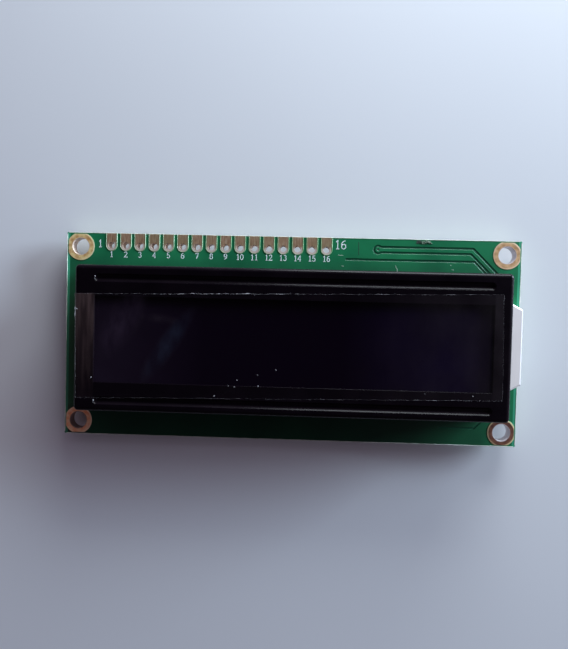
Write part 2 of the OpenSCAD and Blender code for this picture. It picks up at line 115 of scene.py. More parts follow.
class Shader:
    """One material, with short calls for the nodes that it is made of."""

    def __init__(self, name):
        self.material = bpy.data.materials.new(name)
        self.material.use_nodes = True
        self.nodes = self.material.node_tree.nodes
        self.links = self.material.node_tree.links
        self.bsdf = self.nodes["Principled BSDF"]

    def put(self, **sockets):
        for key, value in sockets.items():
            self.bsdf.inputs[key.replace("_", " ")].default_value = value
        return self

    def link(self, source, socket):
        self.links.new(source, self.bsdf.inputs[socket])
        return self

    def place(self, shift=(0, 0, 0), turn=0, scale=(1, 1, 1)):
        """Object coordinates in millimetres, with shift, turn and scale of the texture."""
        coord = self.nodes.new("ShaderNodeTexCoord")
        mapping = self.nodes.new("ShaderNodeMapping")
        mapping.inputs["Scale"].default_value = [1 / MM] * 3
        self.links.new(coord.outputs["Object"], mapping.inputs["Vector"])
        second = self.nodes.new("ShaderNodeMapping")
        second.vector_type = "TEXTURE"
        second.inputs["Location"].default_value = shift
        second.inputs["Rotation"].default_value = (0, 0, math.radians(turn))
        second.inputs["Scale"].default_value = scale
        self.links.new(mapping.outputs["Vector"], second.inputs["Vector"])
        return second.outputs["Vector"]

    def within(self, letter):
        """Place inside the object's own box, from 0 to 1 along one axis."""
        coord = self.nodes.new("ShaderNodeTexCoord")
        split = self.nodes.new("ShaderNodeSeparateXYZ")
        self.links.new(coord.outputs["Generated"], split.inputs["Vector"])
        return split.outputs[letter]

    def noise(self, size, detail=3, stretch=(1, 1, 1), shift=(0, 0, 0)):
        """Noise with features about size millimetres across, stretched along the axes."""
        node = self.nodes.new("ShaderNodeTexNoise")
        node.inputs["Scale"].default_value = 1 / size
        node.inputs["Detail"].default_value = detail
        self.links.new(self.place(shift=shift, scale=stretch), node.inputs["Vector"])
        return node.outputs["Fac"]

    def blob(self, centre, size, turn=0):
        """1 in the middle of a soft ellipse on the XY plane, 0 outside it, in millimetres."""
        node = self.nodes.new("ShaderNodeTexGradient")
        node.gradient_type = "SPHERICAL"
        place = self.place(shift=(*centre, 0), turn=turn, scale=(*size, 1000))
        self.links.new(place, node.inputs["Vector"])
        return node.outputs["Fac"]

    def ramp(self, fac, *stops):
        """Colours by position: each stop is (position, colour)."""
        node = self.nodes.new("ShaderNodeValToRGB")
        ramp = node.color_ramp
        while len(ramp.elements) < len(stops):
            ramp.elements.new(0.5)
        for element, (position, colour) in zip(ramp.elements, stops):
            element.position = position
            element.color = (*colour, 1)
        self.links.new(fac, node.inputs["Fac"])
        return node.outputs["Color"]

    def span(self, fac, from_low, from_high, to_low, to_high):
        """A value moved from one range to another and kept inside it."""
        node = self.nodes.new("ShaderNodeMapRange")
        for key, value in (("From Min", from_low), ("From Max", from_high),
                           ("To Min", to_low), ("To Max", to_high)):
            node.inputs[key].default_value = value
        self.links.new(fac, node.inputs["Value"])
        return node.outputs["Result"]

    def math(self, operation, a, b=None):
        node = self.nodes.new("ShaderNodeMath")
        node.operation = operation
        for socket, value in zip(node.inputs, (a, b)):
            if value is None:
                continue
            if isinstance(value, (int, float)):
                socket.default_value = value
            else:
                self.links.new(value, socket)
        return node.outputs["Value"]

    def mix(self, fac, a, b):
        """Colour a where fac is 0 and colour b where it is 1."""
        node = self.nodes.new("ShaderNodeMix")
        node.data_type = "RGBA"
        self.links.new(fac, node.inputs["Factor"])
        for socket, value in ((node.inputs[MIX_A], a), (node.inputs[MIX_B], b)):
            if isinstance(value, tuple):
                socket.default_value = (*value, 1)
            else:
                self.links.new(value, socket)
        return node.outputs[MIX_RESULT]

    def axis(self, letter, source="Position"):
        """One coordinate of the surface's place in metres, or of its normal."""
        geometry = self.nodes.new("ShaderNodeNewGeometry")
        split = self.nodes.new("ShaderNodeSeparateXYZ")
        self.links.new(geometry.outputs[source], split.inputs["Vector"])
        return split.outputs[letter]

    def radius(self, x, y):
        """Distance in metres from an upright line at x, y."""
        dx = self.math("SUBTRACT", self.axis("X"), x)
        dy = self.math("SUBTRACT", self.axis("Y"), y)
        squares = self.math("ADD", self.math("MULTIPLY", dx, dx), self.math("MULTIPLY", dy, dy))
        return self.math("SQRT", squares)

    def upright(self, low, high):
        """1 on walls and 0 on flat faces; low and high bound how far a face may lean."""
        return self.span(self.math("ABSOLUTE", self.axis("Z", "True Normal")), low, high, 1, 0)

    def bump(self, height, strength, depth_mm, soften_mm=0):
        """Relief from height; soften_mm rounds the light on sharp edges."""
        node = self.nodes.new("ShaderNodeBump")
        node.inputs["Strength"].default_value = strength
        node.inputs["Distance"].default_value = depth_mm * MM
        self.links.new(height, node.inputs["Height"])
        if soften_mm:
            bevel = self.nodes.new("ShaderNodeBevel")
            bevel.samples = 6
            bevel.inputs["Radius"].default_value = soften_mm * MM
            self.links.new(bevel.outputs["Normal"], node.inputs["Normal"])
        return self.link(node.outputs["Normal"], "Normal")


def dress(shader, *names):
    """Give the CAD nodes of these names the shader's material."""
    for name in names:
        mesh = NODES[name].data
        mesh.materials.clear()
        mesh.materials.append(shader.material)


# ---------- materials of the board ----------

def mask_tone(s):
    """Green, with painted shade next to the bezel's upper wall and a painted shadow under the bezel;
    darker olive towards the outer left end, most at its lower part; bright at both ends.
    """
    tone = s.ramp(s.noise(9, 4), (0.3, (0.007, 0.143, 0.058)), (0.7, (0.019, 0.253, 0.098)))
    weave = s.span(s.noise(0.45, 2), 0.42, 0.72, 0, 0.22)
    tone = s.mix(weave, tone, (0.012, 0.190, 0.090))
    # Painted shade: darker next to the bezel's upper wall, fading within 3.2 mm, except at the right end.
    shade_above_bezel = s.span(s.axis("Y"), BEZEL_HIGH.y, BEZEL_HIGH.y + 3.2 * MM, 0.42, 0)
    shade_above_bezel = s.math("MULTIPLY", shade_above_bezel, s.span(s.axis("X"), 34 * MM, 38 * MM, 1, 0))
    tone = s.mix(shade_above_bezel, tone, (0.014, 0.036, 0.024))
    # Painted shadow: the strip under the bezel is darkened, less towards the right end, where the lamps
    # reach it.
    shadow_below_bezel = s.span(s.axis("Y"), BEZEL_LOW.y - 0.5 * MM, BEZEL_LOW.y + 0.5 * MM, 0.70, 0)
    shadow_below_bezel = s.math("MULTIPLY", shadow_below_bezel, s.span(s.axis("X"), 22 * MM, 36 * MM, 1, 0.1))
    tone = s.mix(shadow_below_bezel, tone, (0.004, 0.010, 0.008))
    from_left = s.math("SUBTRACT", s.axis("X"), BOARD_LOW.x)
    from_right = s.math("SUBTRACT", BOARD_HIGH.x, s.axis("X"))
    end_strip = s.span(s.math("MINIMUM", from_left, from_right), 0.52 * MM, 0.62 * MM, 1, 0)
    tone = s.mix(end_strip, tone, (0.055, 0.400, 0.220))
    # Darker olive towards the outer left end, and more so lower down.
    left_end_darkening = s.span(from_left, 2.5 * MM, 4.5 * MM, 0.55, 0)
    left_end_darkening = s.math("MULTIPLY", left_end_darkening, s.span(s.axis("Y"), 2 * MM, 12 * MM, 1, 0))
    return s.mix(left_end_darkening, tone, (0.034, 0.034, 0.022))


def solder_mask():
    """Glossy green mask, darker in the gaps between traces, with bare laminate at the cut edges."""
    s = Shader("solder_mask")
    s.put(Roughness=0.3, Specular_IOR_Level=0.45, Coat_Weight=0.25, Coat_Roughness=0.15)
    gap = s.span(s.axis("Z"), FRONT_Z - 0.035 * MM, FRONT_Z - 0.015 * MM, 1, 0)
    tone = s.mix(gap, mask_tone(s), (0.006, 0.088, 0.042))
    side = s.upright(0.90, 0.97)
    deep = s.span(s.axis("Z"), FRONT_Z - 0.075 * MM, FRONT_Z - 0.060 * MM, 1, 0)
    fibres = s.noise(0.35, 3, (1, 1, 0.2))
    laminate = s.ramp(fibres, (0.3, (0.34, 0.40, 0.24)), (0.7, (0.56, 0.60, 0.42)))
    s.link(s.mix(s.math("MULTIPLY", side, deep), tone, laminate), "Base Color")
    s.link(s.span(side, 0, 1, 0.3, 0.7), "Roughness")
    s.bump(s.noise(0.8, 3), 0.2, 0.02, soften_mm=0.14)
    return s


def land_plate(name, x, y, dark, light, rim, wall):
    """Plating of one mounting land: stains, a painted highlight on the outer rim, strongest towards the
    lamps, and a barrel wall whose colour per land paints its light and shade.
    """
    s = Shader(name).put(Metallic=0.1, Specular_IOR_Level=0.6)
    stain = s.noise(0.9, 5, shift=(x / MM, y / MM, 0))
    tone = s.ramp(stain, (0.34, dark), (0.60, light))
    ragged = s.math("ADD", s.radius(x, y), s.span(s.noise(0.5, 3), 0, 1, -0.10 * MM, 0.10 * MM))
    # Painted highlight: the bright rim is strongest on the side towards the lamps.
    to_light = s.math("ADD", s.axis("X"), s.math("MULTIPLY", s.axis("Y"), 0.6))
    middle = x + 0.6 * y
    reach = s.span(to_light, middle - 2.5 * MM, middle + 2.5 * MM, 0.35, 1)
    ring = s.math("MULTIPLY", s.span(ragged, 2.16 * MM, 2.30 * MM, 0, 1), reach)
    tone = s.mix(ring, tone, rim)
    # Painted light and shade: each land's wall colour is pale where it is lit and dark where it is shaded.
    near_hole = s.span(ragged, HOLE_R + 0.02 * MM, HOLE_R + 0.14 * MM, 0.7, 0)
    tone = s.mix(s.math("MAXIMUM", s.upright(0.5, 0.8), near_hole), tone, wall)
    s.link(tone, "Base Color")
    s.link(s.span(stain, 0.2, 0.8, 0.50, 0.34), "Roughness")
    s.bump(s.noise(0.25, 3), 0.5, 0.03, soften_mm=0.06)
    return s


def pad_copper():
    """Dull washed copper with streaks along the pads, paler round the hole at their lower end, which is
    partly tin and partly a painted highlight.
    """
    s = Shader("pad_copper").put(Metallic=0.3, Specular_IOR_Level=0.6)
    stain = s.noise(0.8, 4, (0.30, 1.8, 1))
    tone = s.ramp(stain, (0.32, (0.24, 0.135, 0.070)), (0.52, (0.38, 0.235, 0.140)),
                  (0.72, (0.48, 0.36, 0.24)))
    olive = s.span(s.noise(5, 2), 0.45, 0.65, 0, 0.5)
    tone = s.mix(olive, tone, (0.26, 0.22, 0.11))
    # Paler lower end round the hole: tin, with a painted highlight where the plating catches the light.
    ragged = s.math("ADD", s.within("Y"), s.span(s.noise(0.5, 4), 0.3, 0.7, -0.12, 0.12))
    tone = s.mix(s.span(ragged, 0.26, 0.44, 0.85, 0), tone, (0.72, 0.62, 0.55))
    from_middle = s.math("ABSOLUTE", s.math("SUBTRACT", s.within("X"), 0.5))
    tone = s.mix(s.span(from_middle, 0.38, 0.46, 0, 0.8), tone, (0.26, 0.27, 0.14))
    tone = s.mix(s.upright(0.5, 0.8), tone, (0.66, 0.46, 0.34))
    s.link(tone, "Base Color")
    s.link(s.span(stain, 0.2, 0.8, 0.60, 0.42), "Roughness")
    s.bump(s.noise(0.2, 3), 0.6, 0.02, soften_mm=0.05)
    return s


def gold_plate():
    """Plating of the contacts under the rubber strips."""
    s = Shader("gold_plate").put(Metallic=1.0, Roughness=0.35)
    s.link(s.ramp(s.noise(0.8, 3), (0.3, (0.62, 0.42, 0.20)), (0.7, (0.80, 0.60, 0.32))), "Base Color")
    s.bump(s.noise(0.2, 3), 0.2, 0.01)
    return s


# ---------- materials of the bezel and the display ----------

def bezel_paint():
    """Satin black paint with a fine orange-peel."""
    s = Shader("bezel_paint").put(Specular_IOR_Level=0.12)
    tone = s.ramp(s.noise(6, 4), (0.3, (0.0022, 0.0012, 0.0026)), (0.7, (0.0042, 0.0024, 0.0044)))
    s.link(tone, "Base Color")
    s.link(s.span(s.noise(2.5, 5), 0.3, 0.7, 0.22, 0.30), "Roughness")
    s.bump(s.noise(0.35, 3), 0.10, 0.02, soften_mm=0.12)
    return s


def polariser(name):
    """Near-black film over the cell with a painted reflection of the room: violet at the left, blue
    towards the right.
    """
    s = Shader(name).put(Roughness=0.10, Specular_IOR_Level=0.5)
    across = s.span(s.axis("X"), BEZEL_LOW.x, BEZEL_HIGH.x, 0, 1)
    # Painted reflection: violet at the left end, blue towards the right.
    painted_reflection_tint = s.ramp(across, (0.05, (0.0135, 0.0085, 0.0175)), (0.30, (0.0036, 0.0014, 0.0052)),
                  (0.62, (0.0028, 0.0008, 0.0046)), (0.85, (0.0056, 0.0030, 0.0150)))
    cloud = s.span(s.noise(13, 3, (1, 0.8, 1)), 0.35, 0.68, 0, 0.45)
    s.link(s.mix(cloud, painted_reflection_tint, (0.0036, 0.0018, 0.0042)), "Base Color")
    s.bump(s.noise(6, 2), 0.05, 0.02)
    return s


def cell_glass():
    s = Shader("cell_glass").put(Roughness=0.05, IOR=1.52, Alpha=0.35)
    tone = s.ramp(s.noise(20, 2), (0.3, (0.05, 0.07, 0.07)), (0.7, (0.08, 0.11, 0.10)))
    s.link(tone, "Base Color")
    return s


def white_plastic():
    """White moulding, greyer along the outer end of the lamp housing."""
    s = Shader("white_plastic").put(Roughness=0.42, Specular_IOR_Level=0.45)
    tone = s.ramp(s.noise(5, 4), (0.3, (0.90, 0.86, 0.83)), (0.7, (0.95, 0.91, 0.88)))
    tip = box_of("backlight_frame")[1].x
    outer = s.span(s.axis("X"), tip - 0.40 * MM, tip - 0.25 * MM, 0, 1)
    s.link(s.mix(outer, tone, (0.56, 0.54, 0.54)), "Base Color")
    s.bump(s.noise(0.4, 3), 0.12, 0.02, soften_mm=0.12)
    return s


def mask_lip():
    # Pale lip of mask round the pads: partly its own paler colour, partly painted light that the lip
    # catches.
    s = Shader("mask_lip").put(Roughness=0.25, Specular_IOR_Level=0.5)
    s.link(s.ramp(s.noise(0.6, 3), (0.3, (0.16, 0.30, 0.13)), (0.7, (0.34, 0.50, 0.28))), "Base Color")
    s.bump(s.noise(0.2, 2), 0.2, 0.01)
    return s


def clear_film():
    """Almost clear; hazy where it lies on the ends of the bezel, with faint painted reflections in violet,
    blue and grey, and a pinkish painted reflection on the left end.
    """
    s = Shader("clear_film").put(Roughness=0.16, Specular_IOR_Level=0.5)
    # Painted reflections: soft violet, blue and grey patches where ripples in the film reflect the room.
    violet = s.blob((-27.6, 2.2), (3.2, 7.4), -32)
    blue = s.blob((-19.9, -1.2), (1.9, 8.2), -35)
    grey = s.blob((-21.1, 3.1), (4.0, 0.9), -6)
    left = s.span(s.axis("X"), BEZEL_LOW.x + 3.3 * MM, BEZEL_LOW.x + 3.6 * MM, 1, 0)
    base = s.ramp(s.noise(9, 3), (0.3, (0.42, 0.34, 0.38)), (0.7, (0.50, 0.43, 0.47)))
    base = s.mix(s.span(violet, 0, 0.4, 0, 1), base, (0.50, 0.34, 0.56))
    base = s.mix(s.span(blue, 0, 0.4, 0, 1), base, (0.26, 0.40, 0.66))
    # Pinkish colour on the bezel's left end: a painted reflection.
    s.link(s.mix(left, base, (0.58, 0.38, 0.36)), "Base Color")
    haze = s.math("ADD", left_haze(s, left), right_haze(s))
    # Streaks that break up the painted reflections.
    reflection_streaks = s.span(s.noise(1.9, 4, (1, 2.2, 1)), 0.35, 0.68, 0.15, 1)
    reflection_marks = s.math("ADD", s.math("MULTIPLY", violet, 0.034), s.math("MULTIPLY", blue, 0.040))
    reflection_marks = s.math("MULTIPLY", s.math("ADD", reflection_marks, s.math("MULTIPLY", grey, 0.022)), reflection_streaks)
    s.link(s.math("ADD", haze, s.math("ADD", reflection_marks, 0.001)), "Alpha")
    s.bump(s.noise(7, 2), 0.15, 0.05)
    return s


def left_haze(s, left):
    """How dense the film is on the bezel's left end, in bands: partly the film's own haze, partly a
    painted reflection that grows towards the top.
    """
    # Denser towards the top: a painted reflection.
    high = s.span(s.axis("Y"), -9 * MM, 7 * MM, 0.08, 1)
    bands = s.span(s.noise(0.7, 4, (1, 9, 1)), 0.35, 0.62, 0.35, 1)
    return s.math("MULTIPLY", s.math("MULTIPLY", left, high), s.math("MULTIPLY", bands, 0.110))


def right_haze(s):
    """How dense the film is towards the right, and most on the bezel's right end."""
    window = s.span(s.axis("X"), 9 * MM, BEZEL_HIGH.x - 5 * MM, 0, 0.8)
    border = s.span(s.axis("X"), BEZEL_HIGH.x - 3.2 * MM, BEZEL_HIGH.x - 2.9 * MM, 0, 0.8)
    cloud = s.span(s.noise(5, 4, (1, 1.6, 1)), 0.30, 0.70, 0.004, 0.022)
    return s.math("MULTIPLY", s.math("ADD", window, border), cloud)


def film_edge():
    """The film's torn rim: pale, and clear in places; its pale colour is partly the torn film and partly
    painted glints along the edge.
    """
    s = Shader("film_edge").put(Roughness=0.3)
    s.link(s.ramp(s.noise(0.6, 3), (0.3, (0.50, 0.50, 0.53)), (0.7, (0.85, 0.85, 0.88))), "Base Color")
    s.link(s.span(s.noise(0.7, 4), 0.40, 0.62, 0.10, 0.80), "Alpha")
    return s


def plain(name, dark, light, size_mm, roughness, metallic=0.0, bump=0.2):
    """Two close tones and a fine grain, for the small pieces and the inner ones."""
    s = Shader(name).put(Metallic=metallic, Roughness=roughness)
    s.link(s.ramp(s.noise(size_mm, 4), (0.3, dark), (0.7, light)), "Base Color")
    s.bump(s.noise(size_mm / 4, 3), bump, 0.02)
    return s


MASK = solder_mask()
COPPER = pad_copper()
GOLD = gold_plate()
PAINT = bezel_paint()
DARK = polariser("polariser")
GLASS = cell_glass()
WHITE = white_plastic()
LIP = mask_lip()
FILM = clear_film()
FILM_EDGE = film_edge()
INK = plain("print_ink", (0.74, 0.86, 0.86), (0.90, 0.96, 0.96), 0.4, 0.6)
# Pale laminate for the cut edges, partly standing in for the bright highlight along them.
FIBRE = plain("laminate_fibre", (0.62, 0.68, 0.58), (0.86, 0.90, 0.82), 0.25, 0.6, bump=0.5)
TORN = plain("torn_mask", (0.20, 0.30, 0.22), (0.50, 0.62, 0.50), 0.3, 0.6)
# Bright grey-white for the painted glints at the bead ends.
GLINT = plain("bead_glint", (0.80, 0.82, 0.88), (0.95, 0.96, 1.0), 0.3, 0.3)
TRACE = plain("masked_copper", (0.012, 0.170, 0.082), (0.030, 0.270, 0.130), 1.2, 0.3)
# Dark stain for the marks in the mask, also the painted shadow beside the edge chip.
STAIN_AND_SHADOW = plain("dark_stain_and_shadow", (0.004, 0.020, 0.012), (0.010, 0.040, 0.024), 0.3, 0.5)
FOIL = plain("white_foil", (0.82, 0.82, 0.84), (0.90, 0.90, 0.92), 3, 0.5)
ACRYLIC = plain("clear_acrylic", (0.72, 0.80, 0.84), (0.80, 0.87, 0.90), 4, 0.15)
RUBBER = plain("strip_rubber", (0.02, 0.02, 0.025), (0.05, 0.05, 0.055), 0.6, 0.8)
EPOXY = plain("black_epoxy", (0.006, 0.006, 0.007), (0.012, 0.012, 0.013), 3, 0.28, bump=0.35)
SEAL = plain("seal_epoxy", (0.45, 0.44, 0.36), (0.55, 0.54, 0.46), 1, 0.6)
TIN = plain("tin", (0.52, 0.52, 0.52), (0.72, 0.72, 0.71), 0.5, 0.32, metallic=1.0)
CERAMIC_BLACK = plain("resistor_black", (0.012, 0.012, 0.014), (0.03, 0.03, 0.034), 0.5, 0.4)
CERAMIC_TAN = plain("capacitor_tan", (0.36, 0.26, 0.16), (0.46, 0.34, 0.22), 0.5, 0.5)
RESIN = plain("lamp_resin", (0.82, 0.78, 0.45), (0.92, 0.88, 0.60), 1, 0.2)


def dress_all():
    dress(MASK, "circuit_board", "lamp_board")
    dress(PAINT, "bezel")
    dress(DARK, "front_polariser", "rear_polariser")
    dress(GLASS, "upper_glass", "lower_glass")
    dress(WHITE, "backlight_frame")
    dress(SEAL, "cell_seal")
    dress(FOIL, "diffuser_sheet", "reflector_sheet")
    dress(ACRYLIC, "light_guide")
    dress(RUBBER, "contact_strip_upper", "contact_strip_lower")
    dress(GOLD, "contact_row_upper", "contact_row_lower")
    dress(EPOXY, "controller_dome", "driver_dome")
    dress(TIN, "component_pads", "backlight_lead_1", "backlight_lead_2", "lead_joint_1", "lead_joint_2")
    dress(CERAMIC_BLACK, "oscillator_resistor", "backlight_resistor")
    dress(CERAMIC_BLACK, *(name for name in NODES if name.startswith("bias_resistor")))
    dress(CERAMIC_TAN, "supply_capacitor")
    dress(RESIN, "lamp_1", "lamp_2", "lamp_3")
    dress(COPPER, *PADS)


def dress_lands():
    """The lands differ, partly in their own aging (gold, copper, reddish, brown) and partly in painted
    light: the lower left land is brightened for light that reaches it.
    """
    # Dark and light tone, painted rim highlight and painted wall light and shade, by the signs of x and y
    land_colours_and_light = {(-1, 1): ((0.54, 0.27, 0.09), (0.86, 0.66, 0.30), (0.90, 0.78, 0.42), (0.74, 0.60, 0.50)),
             (1, 1): ((0.46, 0.24, 0.095), (0.70, 0.45, 0.23), (0.88, 0.68, 0.46), (0.62, 0.56, 0.58)),
             (-1, -1): ((0.95, 0.36, 0.16), (1.0, 0.62, 0.36), (1.0, 0.72, 0.46), (0.20, 0.14, 0.12)),
             (1, -1): ((0.10, 0.030, 0.020), (0.22, 0.090, 0.050), (0.86, 0.76, 0.40), (0.72, 0.66, 0.66))}
    for name in NODES:
        if not name.startswith("mounting_land"):
            continue
        low, high = box_of(name)
        sx = math.copysign(1, low.x)
        sy = math.copysign(1, low.y)
        dress(land_plate("plating_" + name[-1], sx * HOLE_X, sy * HOLE_Y, *land_colours_and_light[(sx, sy)]), name)


# ---------- mesh helpers ----------

def add_piece(name, maker, shader, smooth=False):
    """Make a piece of the module from a bmesh."""
    mesh = bpy.data.meshes.new(name)
    bmesh.ops.recalc_face_normals(maker, faces=maker.faces)
    maker.to_mesh(mesh)
    maker.free()
    mesh.materials.append(shader.material)
    for polygon in mesh.polygons:
        polygon.use_smooth = smooth
    piece = bpy.data.objects.new(name, mesh)
    bpy.context.scene.collection.objects.link(piece)
    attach(piece, "root")
    return piece


def arc(cx, cy, rx, ry, start, end, steps=14):
    """Points on an ellipse, from start to end degrees."""
    points = []
    for k in range(steps + 1):
        a = math.radians(start + (end - start) * k / steps)
        points.append((cx + rx * math.cos(a), cy + ry * math.sin(a)))
    return points


def side_steps(points, closed):
    """For each point, the unit vector across the line, as long as its mitre needs."""
    count = len(points)
    across = []
    for k, p in enumerate(points):
        before = points[k - 1] if k or closed else None
        after = points[(k + 1) % count] if k < count - 1 or closed else None
        ends = [(a, b) for a, b in ((before, p), (p, after)) if a is not None and b is not None]
        lines = [(b - a).normalized() for a, b in ends]
        normals = [Vector((-d.y, d.x)) for d in lines]
        middle = sum(normals, Vector((0, 0))).normalized()
        across.append(middle / max(0.4, middle.dot(normals[0])))
    return across


def ridge(maker, points, base_z, half, height, closed=False, shoulder=0.45, up=1):
    """A roof-shaped strip along flat points; half and height may be functions of the step."""
    points = [Vector(p) for p in points]
    across = side_steps(points, closed)
    rows = []
    for k, (p, n) in enumerate(zip(points, across)):
        h = half(k) if callable(half) else half
        top = height(k) if callable(height) else height
        row = []
        for side, z in ((-1, 0), (-shoulder, top), (shoulder, top), (1, 0)):
            q = p + n * side * h
            row.append(maker.verts.new((q.x, q.y, base_z + up * z)))
        rows.append(row)
    pairs = list(zip(rows, rows[1:]))
    if closed:
        pairs.append((rows[-1], rows[0]))
    for a, b in pairs:
        for k in range(4):
            maker.faces.new((a[k], b[k], b[(k + 1) % 4], a[(k + 1) % 4]))
    if not closed:
        maker.faces.new(rows[0])
        maker.faces.new(rows[-1])


# ---------- printed numbers ----------

def digit_strokes(digit):
    """Pen strokes of one digit, in a cell 0.6 wide and 1 high."""
    shapes = {
        "0": [arc(0.30, 0.50, 0.25, 0.50, 90, 450, 24)],
        "1": [[(0.13, 0.80), (0.33, 1.0), (0.33, 0.0)], [(0.13, 0.0), (0.53, 0.0)]],
        "2": [arc(0.29, 0.74, 0.24, 0.26, 170, -20, 14) + [(0.05, 0.0), (0.56, 0.0), (0.57, 0.14)]],
        "3": [arc(0.28, 0.77, 0.22, 0.23, 155, -90, 14), arc(0.28, 0.27, 0.26, 0.27, 90, -155, 14)],
        "4": [[(0.44, 0.0), (0.44, 1.0), (0.02, 0.30), (0.60, 0.30)], [(0.30, 0.0), (0.58, 0.0)]],
        "5": [[(0.54, 1.0), (0.14, 1.0), (0.10, 0.54)] + arc(0.29, 0.31, 0.26, 0.31, 118, -150, 16)],
        "6": [arc(0.58, 0.52, 0.52, 0.47, 98, 190, 10), arc(0.31, 0.29, 0.25, 0.29, 90, 450, 22)],
        "7": [[(0.06, 0.84), (0.06, 1.0), (0.56, 1.0), (0.22, 0.0)]],
        "8": [arc(0.30, 0.76, 0.20, 0.24, 90, 450, 20), arc(0.30, 0.27, 0.25, 0.27, 90, 450, 22)],
        "9": [arc(0.29, 0.71, 0.25, 0.29, 90, 450, 22), arc(0.02, 0.48, 0.52, 0.47, -82, 10, 10)],
    }
    return shapes[digit]


def write_number(maker, words, size, pen, x, y, z, up=1):
    """A number centred on x, y; up = -1 writes it on a rear face, to be read from behind."""
    step = 0.74 * size
    width = step * (len(words) - 1) + 0.6 * size
    for k, digit in enumerate(words):
        for stroke in digit_strokes(digit):
            points = []
            for u, v in stroke:
                across = k * step + u * size - width / 2
                points.append((x + up * across, y + (v - 0.5) * size))
            closed = (Vector(points[0]) - Vector(points[-1])).length < 0.01 * size
            if closed:
                points.pop()
            ridge(maker, points, z, pen / 2, INK_HEIGHT, closed=closed, shoulder=0.9, up=up)


def end_numbers(maker, z, last_drop, up=1):
    """The first and the last number beside the row of terminals."""
    low, high = box_of(PADS[0])
    write_number(maker, "1", 1.20 * MM, 0.14 * MM, low.x - 1.10 * MM, high.y - 1.85 * MM, z, up)
    low, high = box_of(PADS[-1])
    last = str(len(PADS))
    write_number(maker, last, 1.45 * MM, 0.15 * MM, high.x + 1.48 * MM, high.y - last_drop, z, up)


def printed_numbers():
    """Pin numbers under the pads, and the large first and last number beside the row."""
    maker = bmesh.new()
    size, pen, drop = 0.94 * MM, 0.125 * MM, 3.69 * MM
    for index, name in enumerate(PADS):
        low, high = box_of(name)
        write_number(maker, str(index + 1), size, pen, middle_x(low, high), high.y - drop, FRONT_Z)
    end_numbers(maker, FRONT_Z, 1.18 * MM)
    return add_piece("printed_numbers", maker, INK)


# ---------- fine edges of the board ----------

def pad_rims():
    """The solder mask swells into a small lip round each pad; its pale colour partly paints the light it
    catches.
    """
    maker = bmesh.new()
    for name in PADS:
        low, high = box_of(name)
        r = (high.x - low.x) / 2
        rounded = arc(middle_x(low, high), low.y + r, r, r, 180, 360, 18)
        outline = [(low.x, high.y)] + rounded + [(high.x, high.y)]
        ridge(maker, outline, FRONT_Z, 0.085 * MM, 0.075 * MM, shoulder=0.25)
    return add_piece("pad_rims", maker, LIP)


def cut_edge_line(name, start, end, inward, seed):
    """Pale fibres that stand up along one cut edge of the board; partly bare laminate, partly a painted
    highlight along the edge.
    """
    start, end, inward = Vector(start), Vector(end), Vector(inward)
    count = int((end - start).length / (0.4 * MM))
    points = []
    for k in range(count + 1):
        sway = noise.noise(Vector((k * 0.23, seed, 0.7))) * 0.02 * MM
        points.append(start.lerp(end, k / count) + inward * (0.07 * MM + sway))

    def half(k):
        return (0.055 + 0.020 * noise.noise(Vector((k * 0.31, seed, 5.1)))) * MM

    def height(k):
        return (0.030 + 0.030 * abs(noise.noise(Vector((k * 0.17, seed, 9.9))))) * MM

    maker = bmesh.new()
    ridge(maker, points, FRONT_Z, half, height, shoulder=0.3)
    return add_piece(name, maker, FIBRE)


def cut_edges():
    low, high = BOARD_LOW, BOARD_HIGH
    inset = 0.35 * MM
    cut_edge_line("cut_edge_upper", (low.x + inset, high.y), (high.x - inset, high.y), (0, -1), 1.5)
    cut_edge_line("cut_edge_lower", (low.x + inset, low.y), (high.x - inset, low.y), (0, 1), 2.5)
    cut_edge_line("cut_edge_left", (low.x, low.y + inset), (low.x, high.y - inset), (1, 0), 3.5)
    cut_edge_line("cut_edge_right", (high.x, low.y + inset), (high.x, high.y - inset), (-1, 0), 4.5)


# ---------- rear of the board ----------

TRACE_HALF = 0.16 * MM
TRACE_HEIGHT = 0.03 * MM


def dome_circle(name, clearance):
    """Centre of a dome, and its radius with a clearance added."""
    low, high = box_of(name)
    return middle_x(low, high), middle_y(low, high), (high.x - low.x) / 2 + clearance


def half_chord(r, offset):
    """How far a circle reaches along one axis, at an offset along the other."""
    return math.sqrt(r * r - offset * offset)


def rear_print():
    """A printed ring round each dome, and the first and last number on the rear."""
    maker = bmesh.new()
    for name in ("controller_dome", "driver_dome"):
        cx, cy, r = dome_circle(name, 0.55 * MM)
        ring = arc(cx, cy, r, r, 0, 355, 71)
        ridge(maker, ring, REAR_Z, 0.08 * MM, INK_HEIGHT, closed=True, shoulder=0.9, up=-1)
    end_numbers(maker, REAR_Z, 1.60 * MM, up=-1)
    return add_piece("rear_print", maker, INK)


def rear_trace(maker, *points):
    ridge(maker, points, REAR_Z, TRACE_HALF, TRACE_HEIGHT, shoulder=0.6, up=-1)


def traces_to_controller(maker, names):
    """From these pads to the controller's dome, with one bend each."""
    cx, cy, r = dome_circle("controller_dome", 0.70 * MM)
    pitch = 1.8 * MM
    knee = 11.6 * MM
    for index, name in enumerate(names):
        low, high = box_of(name)
        x = middle_x(low, high)
        end_x = cx + (index - (len(names) - 1) / 2) * pitch
        end_y = cy + half_chord(r, end_x - cx)
        start = (x, low.y - 0.15 * MM)
        rear_trace(maker, start, (x, knee), (end_x, knee - abs(end_x - x)), (end_x, end_y))


